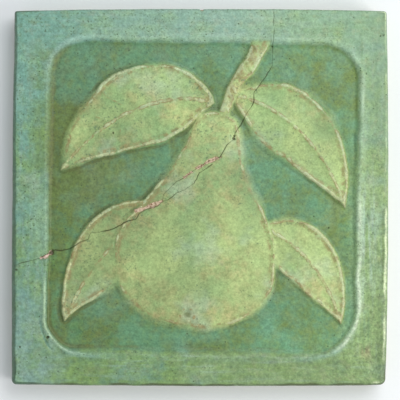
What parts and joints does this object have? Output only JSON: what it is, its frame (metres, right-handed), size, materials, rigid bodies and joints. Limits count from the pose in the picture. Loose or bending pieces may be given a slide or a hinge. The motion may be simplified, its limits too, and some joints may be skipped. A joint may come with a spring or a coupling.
{
  "type": "art tile",
  "caption": "Square press-moulded ceramic art tile with a plain border, sunken rounded panel and low-relief pear-and-leaf motif under matte green glaze; hairline crack across the face.",
  "frame": {"origin": "centre of the flat back face, on the floor the tile lies on", "axes": "+Z out of the moulded face, +Y towards the top of the picture, +X to the right as seen from the front"},
  "size_m": [0.1526, 0.1528, 0.0159],
  "materials": {
    "glazed_clay": "matte green glaze over buff clay, mottled, thin and buff on the raised edges"
  },
  "bodies": {
    "root": {"tile": "glazed_clay"}
  },
  "joints": []
}
